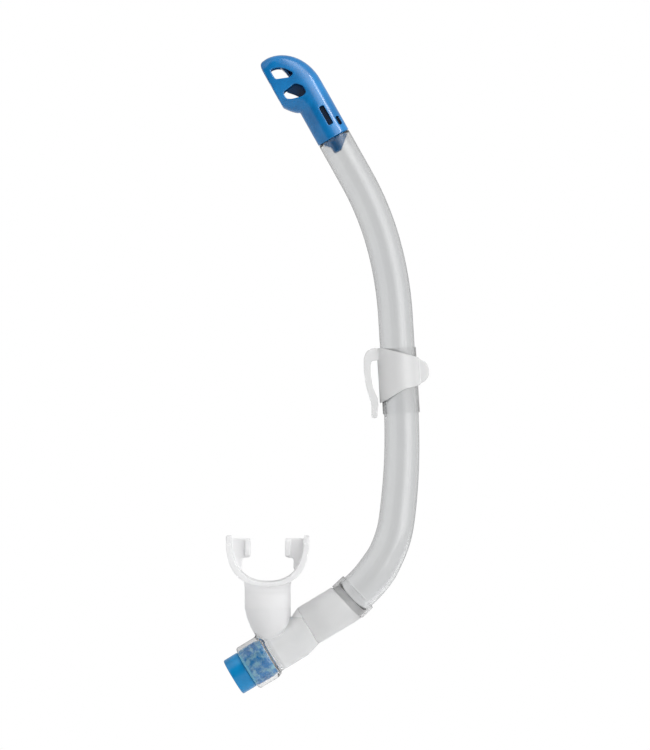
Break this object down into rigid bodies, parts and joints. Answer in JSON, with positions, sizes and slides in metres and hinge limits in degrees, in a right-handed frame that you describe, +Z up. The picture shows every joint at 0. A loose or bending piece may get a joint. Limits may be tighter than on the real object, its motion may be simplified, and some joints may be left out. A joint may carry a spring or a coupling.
{
  "type": "snorkel",
  "caption": "Swimmer's snorkel: clear curved breathing barrel with a splash hood, a strap keeper, a swivelling lower unit with a silicone mouthpiece and a purge valve.",
  "frame": {"origin": "centre of the keeper's mask-strap slot", "axes": "+Z up along the snorkel as worn, +X from the mask strap towards the barrel, +Y across the snorkel's plane of symmetry, the way the strap runs"},
  "size_m": [0.1356, 0.031, 0.4209],
  "materials": {
    "clear_barrel": "clear glossy PVC, slightly grey",
    "blue_plastic": "glossy moulded blue plastic",
    "clear_silicone": "translucent satin silicone",
    "mouth_silicone": "milky satin silicone",
    "natural_nylon": "uncoloured translucent nylon"
  },
  "bodies": {
    "barrel_body": {"barrel": "clear_barrel", "splash_hood": "blue_plastic", "splash_deflector": "blue_plastic"},
    "keeper_carriage": {"keeper_sleeve": "clear_barrel"},
    "strap_clip": {"keeper_clip": "natural_nylon"},
    "lower_unit": {"swivel_collar": "clear_barrel", "lower_sleeve": "clear_silicone", "tee_body": "clear_silicone", "purge_cap": "blue_plastic", "purge_housing": "blue_plastic", "purge_seat": "blue_plastic"},
    "mouthpiece_body": {"mouthpiece": "mouth_silicone"},
    "purge_flap": {"purge_diaphragm": "mouth_silicone"}
  },
  "joints": [
    {"name": "keeper_slide", "type": "slide", "parent": "barrel_body", "child": "keeper_carriage", "axis": [-0.061, 0, 0.9981], "range_m": [-0.003, 0.018]},
    {"name": "keeper_turn", "type": "hinge", "parent": "keeper_carriage", "child": "strap_clip", "pos_m": [0.01633, 0, 0.00056], "axis": [-0.061, 0, 0.9981], "continuous": true},
    {"name": "lower_unit_swivel", "type": "hinge", "parent": "barrel_body", "child": "lower_unit", "pos_m": [-0.01498, 0, -0.14362], "axis": [0.7242, 0, 0.6896], "range_deg": [-60, 60]},
    {"name": "mouthpiece_swivel", "type": "hinge", "parent": "lower_unit", "child": "mouthpiece_body", "pos_m": [-0.0705, 0, -0.15], "axis": [0, 0, 1], "range_deg": [-30, 30]},
    {"name": "purge_flap_lift", "type": "slide", "parent": "lower_unit", "child": "purge_flap", "axis": [-0.8554, 0, -0.518], "range_m": [0, 0.0012], "stiffness_N_per_m": 20}
  ]
}
